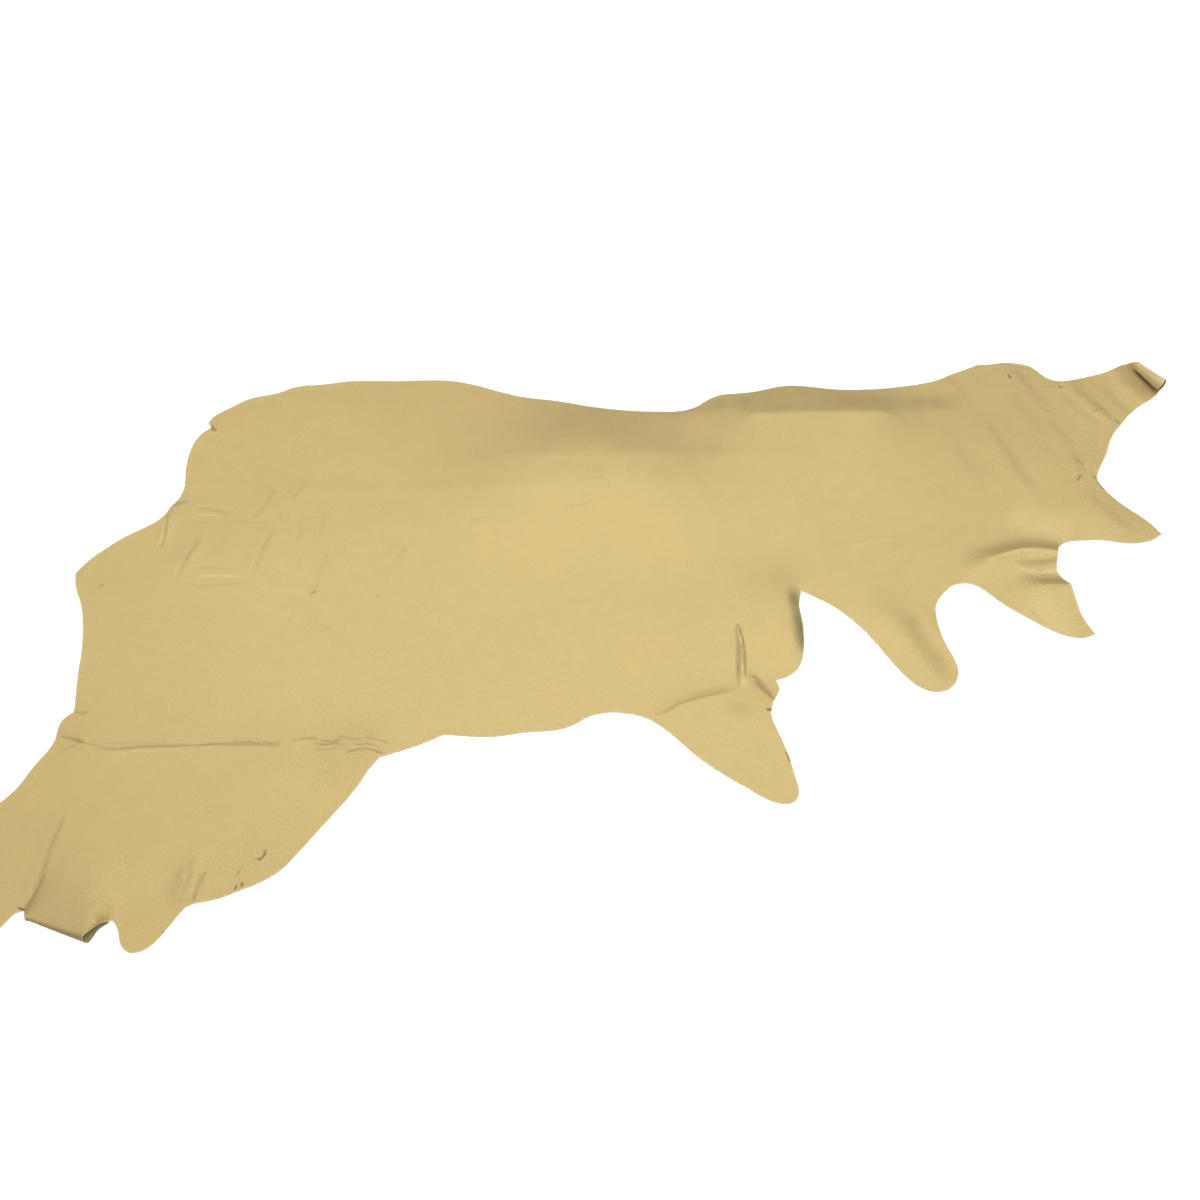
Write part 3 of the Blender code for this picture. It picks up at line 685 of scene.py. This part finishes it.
def skin_grain():
    """The leather's surface: pores in rounded cells, wrinkles where it is loose, and a soft peel."""
    names = ["Cell", "Depth", "Loose", "Wrinkle Depth", "Peel Length", "Peel Depth"]
    tree, given, result = new_group("skin_grain", names, ["Height", "Furrow"])
    place = tree.nodes.new("ShaderNodeTexCoord").outputs["Object"]
    per_cell = reckoned(tree, "DIVIDE", 1.0, given["Cell"])
    pebble = ranged(tree, cell_edges(tree, place, per_cell), 0.0, PORE_EDGE)
    fine = reckoned(tree, "MULTIPLY", pebble, given["Depth"])

    per_wrinkle = reckoned(tree, "MULTIPLY", per_cell, WRINKLES_PER_CELL)
    warp = clouds(tree, place, WARPS_PER_METRE, 2.0)["Color"]
    warped = {0: warp, 1: WARP, 2: place}
    bent = placed(tree, "ShaderNodeVectorMath", warped, operation="MULTIPLY_ADD").outputs[0]
    folds = ranged(tree, cell_edges(tree, bent, per_wrinkle), 0.0, WRINKLE_EDGE)
    furrow = reckoned(tree, "MULTIPLY", reckoned(tree, "SUBTRACT", 1.0, folds), given["Loose"])
    wrinkle = reckoned(tree, "MULTIPLY", furrow, given["Wrinkle Depth"])

    per_peel = reckoned(tree, "DIVIDE", 1.0, given["Peel Length"])
    peel = reckoned(tree, "MULTIPLY", clouds(tree, place, per_peel, 3.0)["Fac"], given["Peel Depth"])
    height = reckoned(tree, "ADD", reckoned(tree, "SUBTRACT", fine, wrinkle), peel)
    feed(tree, result["Height"], height)
    between = reckoned(tree, "SUBTRACT", 1.0, pebble)
    feed(tree, result["Furrow"], reckoned(tree, "MAXIMUM", between, furrow))
    return tree


Drift = namedtuple("Drift", "name per_metre detail")

DRIFTS = [Drift("Cloud", 3.2, 2.0), Drift("Blotch", 28.0, 3.0), Drift("Mottle", 330.0, 2.0)]


def tone_drift():
    """How a tanned skin's tone changes over it: broad clouds, smaller blotches and a fine mottle."""
    tree, given, result = new_group("tone_drift", [drift.name for drift in DRIFTS], ["Tone"])
    place = tree.nodes.new("ShaderNodeTexCoord").outputs["Object"]
    tone = 0.5
    for drift in DRIFTS:
        value = clouds(tree, place, drift.per_metre, drift.detail)["Fac"]
        value = reckoned(tree, "MULTIPLY", reckoned(tree, "SUBTRACT", value, 0.5), given[drift.name])
        tone = reckoned(tree, "ADD", tone, value)
    feed(tree, result["Tone"], tone)
    return tree


NIBBLES_PER_METRE = 210.0
NIBBLES = (0.3, 0.7)
NIBBLED_REACH = (0.3, 1.7)


def rim_wear():
    """Where the surface has rubbed away beside the cut edge, unevenly."""
    tree, given, result = new_group("rim_wear", ["Rim Distance", "Reach"], ["Wear"])
    place = tree.nodes.new("ShaderNodeTexCoord").outputs["Object"]
    noise_fac = clouds(tree, place, NIBBLES_PER_METRE, 4.0)["Fac"]
    nibbled = ranged(tree, noise_fac, *NIBBLES, *NIBBLED_REACH)
    reach = reckoned(tree, "MULTIPLY", given["Reach"], nibbled)
    share = reckoned(tree, "DIVIDE", given["Rim Distance"], reach)
    feed(tree, result["Wear"], ranged(tree, share, 1.0, 0.0))
    return tree


GRAIN = skin_grain()
DRIFT = tone_drift()
WEAR = rim_wear()


def new_material(name):
    """A material, its tree and its shader."""
    material = bpy.data.materials.new(name)
    material.use_nodes = True
    return material, material.node_tree, material.node_tree.nodes["Principled BSDF"]


def attribute(tree, name):
    """A value that the sheet's mesh carries."""
    return placed(tree, "ShaderNodeAttribute", {}, attribute_name=name).outputs["Fac"]


def group_in(tree, group, inputs):
    """A shared effect, placed in a material with the material's own values."""
    return placed(tree, "ShaderNodeGroup", inputs, node_tree=group).outputs


def bumped(tree, shader, height):
    """A height in metres as the shader's normal."""
    bump = placed(tree, "ShaderNodeBump", {"Height": height, "Distance": 1.0, "Strength": 1.0})
    feed(tree, shader.inputs["Normal"], bump.outputs["Normal"])


def gold_grain_side():
    material, tree, shader = new_material("gold_grain_side")
    grain_inputs = {
        "Cell": GRAIN_CELL,
        "Depth": GRAIN_DEPTH,
        "Loose": attribute(tree, "loose"),
        "Wrinkle Depth": WRINKLE_DEPTH,
        "Peel Length": PEEL_LENGTH,
        "Peel Depth": PEEL_DEPTH,
    }
    grain = group_in(tree, GRAIN, grain_inputs)
    tone = group_in(tree, DRIFT, {"Cloud": 0.35, "Blotch": 0.35, "Mottle": 1.1})["Tone"]
    rim = attribute(tree, "rim_distance")
    wear = group_in(tree, WEAR, {"Rim Distance": rim, "Reach": WEAR_REACH})["Wear"]
    dark = attribute(tree, "dark")
    shade = ranged(tree, tone, 0.0, 1.0, 1 - TONE_SWING, 1 + TONE_SWING, smooth=False)
    gold = tinted(tree, reckoned(tree, "MULTIPLY", grain["Furrow"], FURROW_SHARE), GOLD, GOLD_IN_FURROWS)
    gold = placed(tree, "ShaderNodeVectorMath", {0: gold, "Scale": shade}, operation="SCALE").outputs[0]
    gold = tinted(tree, reckoned(tree, "MULTIPLY", wear, WORN_SHARE), gold, WORN_GOLD)
    # A painted highlight where the crease value is below 0, and painted shade where it is above 0
    gold = tinted(tree, ranged(tree, dark, 0.0, -1.0, smooth=False), gold, PAINTED_HIGHLIGHT)
    gold = tinted(tree, ranged(tree, dark, 0.0, 1.0, 0.0, PAINTED_SHADE_SHARE, smooth=False), gold, PAINTED_SHADE)
    feed(tree, shader.inputs["Base Color"], gold)
    dull = reckoned(tree, "MAXIMUM", reckoned(tree, "MULTIPLY", wear, WEAR_DULLS), dark)
    rough = ranged(tree, tone, *MIDDLE_TONES, *GOLD_ROUGHNESS, smooth=False)
    feed(tree, shader.inputs["Roughness"], reckoned(tree, "MULTIPLY_ADD", dull, DULL_ROUGHNESS, rough))
    foil = ranged(tree, dull, 0.0, 1.0, GOLD_METALLIC, BARE_METALLIC, smooth=False)
    feed(tree, shader.inputs["Metallic"], foil)
    bumped(tree, shader, grain["Height"])
    return material


# The flesh side: undyed suede, split and shaved, with a short nap. It shows where the ends roll over,
# and it lies on the floor everywhere else.
SUEDE = (0.76, 0.58, 0.28, 1)
SUEDE_DARK = (0.60, 0.46, 0.23, 1)
SUEDE_ROUGHNESS = (0.88, 0.98)
MOST_TONES = (0.1, 0.9)


def suede_flesh_side():
    material, tree, shader = new_material("suede_flesh_side")
    tone = group_in(tree, DRIFT, {"Cloud": 0.6, "Blotch": 1.2, "Mottle": 1.5})["Tone"]
    suede = tinted(tree, ranged(tree, tone, *MOST_TONES), SUEDE_DARK, SUEDE)
    feed(tree, shader.inputs["Base Color"], suede)
    nap_inputs = {
        "Cell": 0.8 * MM,
        "Depth": 0.10 * MM,
        "Loose": 0.0,
        "Wrinkle Depth": 0.0,
        "Peel Length": 3 * MM,
        "Peel Depth": 0.35 * MM,
    }
    bumped(tree, shader, group_in(tree, GRAIN, nap_inputs)["Height"])
    feed(tree, shader.inputs["Roughness"], ranged(tree, tone, *MIDDLE_TONES, *SUEDE_ROUGHNESS))
    shader.inputs["Sheen Weight"].default_value = 0.25
    shader.inputs["Sheen Roughness"].default_value = 0.5
    return material


# The cut edge: the raw middle of the leather, pale and fibrous. It is as high as the leather is thick,
# and was left as the knife cut it.
RAW_LEATHER = (0.80, 0.64, 0.46, 1)
RAW_LEATHER_DARK = (0.58, 0.44, 0.29, 1)
RAW_ROUGHNESS = 0.92


def raw_cut_edge():
    material, tree, shader = new_material("raw_cut_edge")
    tone = group_in(tree, DRIFT, {"Cloud": 0.3, "Blotch": 1.0, "Mottle": 2.0})["Tone"]
    raw = tinted(tree, ranged(tree, tone, *MOST_TONES), RAW_LEATHER_DARK, RAW_LEATHER)
    feed(tree, shader.inputs["Base Color"], raw)
    fibre_inputs = {
        "Cell": 0.5 * MM,
        "Depth": 0.08 * MM,
        "Loose": 0.0,
        "Wrinkle Depth": 0.0,
        "Peel Length": 1.5 * MM,
        "Peel Depth": 0.2 * MM,
    }
    bumped(tree, shader, group_in(tree, GRAIN, fibre_inputs)["Height"])
    shader.inputs["Roughness"].default_value = RAW_ROUGHNESS
    return material


sheet = with_thickness(skin, [gold_grain_side(), suede_flesh_side(), raw_cut_edge()])
hide = bpy.data.objects.new("leather_hide", sheet)
bpy.context.scene.collection.objects.link(hide)
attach(hide, "root")
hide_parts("hide")


# The floor: a plain white sweep that the hide lies on. The camera sees it pure white and without shadows,
# as the photograph's ground is, while it throws only a little light under the rolled ends.
FLOOR_HALF_WIDTH = 30.0
FLOOR_DROP = 0.2 * MM
FLOOR_SHADE = (0.5, 0.5, 0.5, 1)
FLOOR_GLOW = 0.8
FLOOR_ROUGHNESS = 0.8
FLOOR_SPECULAR = 0.2


def white_floor():
    material, tree, shader = new_material("white_floor")
    shader.inputs["Base Color"].default_value = FLOOR_SHADE
    shader.inputs["Roughness"].default_value = FLOOR_ROUGHNESS
    shader.inputs["Specular IOR Level"].default_value = FLOOR_SPECULAR
    seen = tree.nodes.new("ShaderNodeLightPath").outputs["Is Camera Ray"]
    feed(tree, shader.inputs["Emission Color"], seen)
    shader.inputs["Emission Strength"].default_value = FLOOR_GLOW
    plane = bmesh.new()
    bmesh.ops.create_grid(plane, x_segments=1, y_segments=1, size=FLOOR_HALF_WIDTH)
    mesh = bpy.data.meshes.new("floor")
    plane.to_mesh(mesh)
    plane.free()
    mesh.materials.append(material)
    floor = bpy.data.objects.new("floor", mesh)
    bpy.context.scene.collection.objects.link(floor)
    floor.location.z = -FLOOR_DROP


white_floor()


# The studio: a white dome that throws its light from overhead and little from the horizon, and one broad
# soft light behind the hide, where its glossy side mirrors it towards the camera. A camera sees only white.
SOFTBOX_PLACE = Vector((0.4, 1.4, 2.6))
SOFTBOX_AIM = Vector((0.2, 0.1, 0))
SOFTBOX_WIDTH = 5.8
SOFTBOX_DEPTH = 1.3
SOFTBOX_WATTS = 26
DOME_AT_HORIZON = 0.02
DOME_AT_ZENITH = 1.18
ZENITH_FROM = 0.95


def hang_softbox():
    light = bpy.data.lights.new("behind", "AREA")
    light.shape = "RECTANGLE"
    light.size = SOFTBOX_WIDTH
    light.size_y = SOFTBOX_DEPTH
    light.energy = SOFTBOX_WATTS
    lamp = bpy.data.objects.new("behind", light)
    bpy.context.scene.collection.objects.link(lamp)
    lamp.location = SOFTBOX_PLACE
    lamp.rotation_euler = (SOFTBOX_AIM - SOFTBOX_PLACE).to_track_quat("-Z", "Y").to_euler()
    lamp.visible_camera = False


def raise_dome():
    dome = bpy.data.worlds.new("dome")
    dome.use_nodes = True
    tree = dome.node_tree
    air = tree.nodes["Background"]
    air.inputs["Color"].default_value = (1, 1, 1, 1)
    way = tree.nodes.new("ShaderNodeTexCoord").outputs["Generated"]
    upwards = placed(tree, "ShaderNodeSeparateXYZ", {0: way}).outputs["Z"]
    strength = ranged(tree, upwards, 0.0, ZENITH_FROM, DOME_AT_HORIZON, DOME_AT_ZENITH)
    seen = tree.nodes.new("ShaderNodeLightPath").outputs["Is Camera Ray"]
    feed(tree, air.inputs["Strength"], reckoned(tree, "MAXIMUM", strength, seen))
    bpy.context.scene.world = dome


hang_softbox()
raise_dome()
bpy.context.scene.view_settings.view_transform = "Standard"


# The camera stands in front of the belly edge and looks down at the hide at 52 degrees. Its square frame
# is 2.55 m wide at the point that it looks at.
CAMERA_ELEVATION = math.radians(52)
CAMERA_DISTANCE = 3.0
FRAME_WIDTH = 2.55
SENSOR = 36.0

lens = bpy.data.cameras.new("camera")
lens.sensor_width = SENSOR
lens.lens = SENSOR * CAMERA_DISTANCE / FRAME_WIDTH
camera = bpy.data.objects.new("camera", lens)
bpy.context.scene.collection.objects.link(camera)
back = Vector((0, -math.cos(CAMERA_ELEVATION), math.sin(CAMERA_ELEVATION)))
camera.location = AIM + back * CAMERA_DISTANCE
camera.rotation_euler = (math.pi / 2 - CAMERA_ELEVATION, 0, 0)
bpy.context.scene.camera = camera
